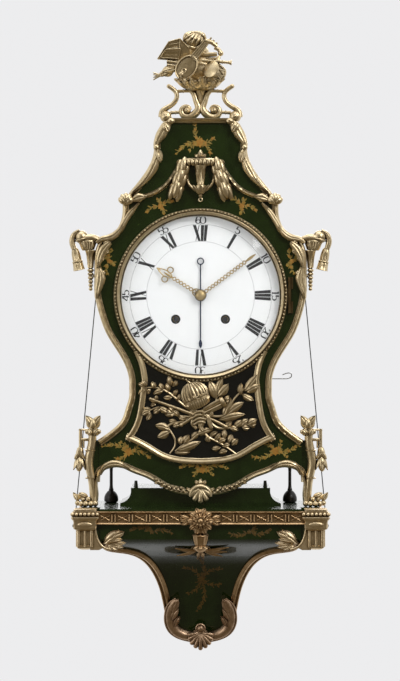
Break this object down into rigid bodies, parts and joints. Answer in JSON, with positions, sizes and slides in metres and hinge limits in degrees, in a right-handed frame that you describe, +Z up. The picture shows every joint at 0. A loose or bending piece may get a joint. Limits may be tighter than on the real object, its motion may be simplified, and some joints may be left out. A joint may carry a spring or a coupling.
{
  "type": "cartel clock",
  "caption": "Waisted lacquered cartel clock with gilt mounts, enamel dial, glazed door and spring movement, standing on its own wall console.",
  "frame": {"origin": "on the wall plane, on the rear face of the console's back board, level with the top of its shelf", "axes": "+X to the right seen from the front, +Y into the wall, +Z up"},
  "size_m": [0.3996, 0.194, 0.9475],
  "materials": {
    "green_lacquer": "gloss lacquer",
    "black_lacquer": "gloss lacquer",
    "bare_wood": "plain",
    "dark_wood": "polished",
    "ormolu": "chased and gilt",
    "hinge_brass": "plain",
    "enamel": "vitreous enamel",
    "dome_glass": "clear",
    "gilt_hands": "pierced and gilt",
    "blued_steel": "blued",
    "clock_brass": "grained",
    "arbor_steel": "polished",
    "bell_metal": "turned",
    "silk_cord": "twisted"
  },
  "bodies": {
    "case": {"console_body": "green_lacquer", "console_back_board": "bare_wood", "console_shelf": "green_lacquer", "console_plinth": "green_lacquer", "console_front_band": "ormolu", "console_corners": "ormolu", "console_rosette": "ormolu", "console_drop": "ormolu", "console_edge_mouldings": "ormolu", "console_base_mount": "ormolu", "case_back_board": "bare_wood", "case_carcass": "green_lacquer", "case_floor": "bare_wood", "case_front": "green_lacquer", "movement_seat_board": "bare_wood", "contour_mouldings": "ormolu", "hood_moulding": "ormolu", "apron_moulding": "ormolu", "apron_shell": "ormolu", "crest_moulding": "ormolu", "crest_urn": "ormolu", "shoulder_mounts": "ormolu", "side_urns": "ormolu", "finial_scrolls": "ormolu", "finial_trophy": "ormolu", "front_feet": "ormolu", "foot_brackets": "ormolu", "rear_feet": "dark_wood", "case_hinge": "hinge_brass", "dial": "enamel", "front_plate": "clock_brass", "back_plate": "clock_brass", "bell": "bell_metal", "cord_guides": "hinge_brass"},
    "door": {"door_bezel": "ormolu", "door_glass": "dome_glass", "door_panel": "black_lacquer", "door_strips": "ormolu", "door_trophy": "ormolu", "door_hinge": "hinge_brass"},
    "minute": {"minute_hand": "gilt_hands", "cannon_pinion": "clock_brass"},
    "hour": {"hour_hand": "gilt_hands", "hour_wheel": "clock_brass"},
    "minute_wheel_body": {"minute_wheel": "clock_brass"},
    "alarm": {"alarm_hand": "blued_steel"},
    "center": {"center_wheel": "clock_brass"},
    "going_drum": {"going_barrel": "clock_brass"},
    "going_winding": {"going_arbor": "arbor_steel"},
    "strike_drum": {"strike_barrel": "clock_brass"},
    "strike_winding": {"strike_arbor": "arbor_steel"},
    "third": {"third_wheel": "clock_brass"},
    "escape": {"escape_wheel": "clock_brass"},
    "strike_pin": {"strike_pin_wheel": "clock_brass"},
    "pendulum_body": {"pendulum": "clock_brass", "anchor": "arbor_steel"},
    "hammer_body": {"hammer": "arbor_steel"},
    "repeat_left": {"repeat_cord_left": "silk_cord"},
    "repeat_right": {"repeat_cord_right": "silk_cord"},
    "trip": {"strike_trip_wire": "arbor_steel"}
  },
  "joints": [
    {"name": "door_swing", "type": "hinge", "parent": "case", "child": "door", "pos_m": [0.1335, -0.1279, 0.317], "axis": [0, 0, 1], "range_deg": [0, 90]},
    {"name": "minute_turn", "type": "hinge", "parent": "case", "child": "minute", "pos_m": [0, 0, 0.317], "axis": [0, 1, 0], "continuous": true},
    {"name": "hour_turn", "type": "hinge", "parent": "case", "child": "hour", "pos_m": [0, 0, 0.317], "axis": [0, 1, 0], "continuous": true},
    {"name": "minute_wheel_turn", "type": "hinge", "parent": "case", "child": "minute_wheel_body", "pos_m": [-0.024, 0, 0.317], "axis": [0, 1, 0], "continuous": true},
    {"name": "alarm_set", "type": "hinge", "parent": "case", "child": "alarm", "pos_m": [0, 0, 0.317], "axis": [0, 1, 0], "continuous": true},
    {"name": "escape_turn", "type": "hinge", "parent": "case", "child": "escape", "pos_m": [0, 0, 0.36525], "axis": [0, 1, 0], "continuous": true},
    {"name": "third_turn", "type": "hinge", "parent": "case", "child": "third", "pos_m": [0.0118, 0, 0.34621], "axis": [0, 1, 0], "continuous": true},
    {"name": "center_turn", "type": "hinge", "parent": "case", "child": "center", "pos_m": [0, 0, 0.317], "axis": [0, 1, 0], "continuous": true},
    {"name": "going_barrel_turn", "type": "hinge", "parent": "case", "child": "going_drum", "pos_m": [0.0373, 0, 0.281], "axis": [0, 1, 0], "continuous": true},
    {"name": "strike_pin_turn", "type": "hinge", "parent": "case", "child": "strike_pin", "pos_m": [-0.0463, 0, 0.33205], "axis": [0, 1, 0], "continuous": true},
    {"name": "strike_barrel_turn", "type": "hinge", "parent": "case", "child": "strike_drum", "pos_m": [-0.0373, 0, 0.281], "axis": [0, 1, 0], "continuous": true},
    {"name": "going_wind", "type": "hinge", "parent": "case", "child": "going_winding", "pos_m": [0.0373, 0, 0.281], "axis": [0, 1, 0], "range_deg": [0, 1620]},
    {"name": "strike_wind", "type": "hinge", "parent": "case", "child": "strike_winding", "pos_m": [-0.0373, 0, 0.281], "axis": [0, 1, 0], "range_deg": [0, 1620]},
    {"name": "pendulum_swing", "type": "hinge", "parent": "case", "child": "pendulum_body", "pos_m": [0, 0, 0.38925], "axis": [0, 1, 0], "range_deg": [-4, 4]},
    {"name": "hammer_swing", "type": "hinge", "parent": "case", "child": "hammer_body", "pos_m": [-0.056, 0, 0.398], "axis": [0, 1, 0], "range_deg": [-18, 0], "stiffness_Nm_per_rad": 0.02, "springref_deg": 14.32},
    {"name": "repeat_left_pull", "type": "slide", "parent": "case", "child": "repeat_left", "axis": [-0.0933, 0, -0.9956], "range_m": [0, 0.02], "stiffness_N_per_m": 30, "springref_m": -0.02},
    {"name": "repeat_right_pull", "type": "slide", "parent": "case", "child": "repeat_right", "axis": [0.0933, 0, -0.9956], "range_m": [0, 0.02], "stiffness_N_per_m": 30, "springref_m": -0.02},
    {"name": "trip_pull", "type": "slide", "parent": "case", "child": "trip", "axis": [1, 0, 0], "range_m": [0, 0.005]}
  ],
  "couplings": [
    {"joint": "hour_turn", "follows": "minute_turn", "ratio": 0.083333},
    {"joint": "minute_wheel_turn", "follows": "minute_turn", "ratio": -0.33333},
    {"joint": "third_turn", "follows": "escape_turn", "ratio": -0.16667},
    {"joint": "center_turn", "follows": "escape_turn", "ratio": 0.027778},
    {"joint": "going_barrel_turn", "follows": "escape_turn", "ratio": -0.0046296},
    {"joint": "strike_barrel_turn", "follows": "strike_pin_turn", "ratio": -0.16667}
  ]
}
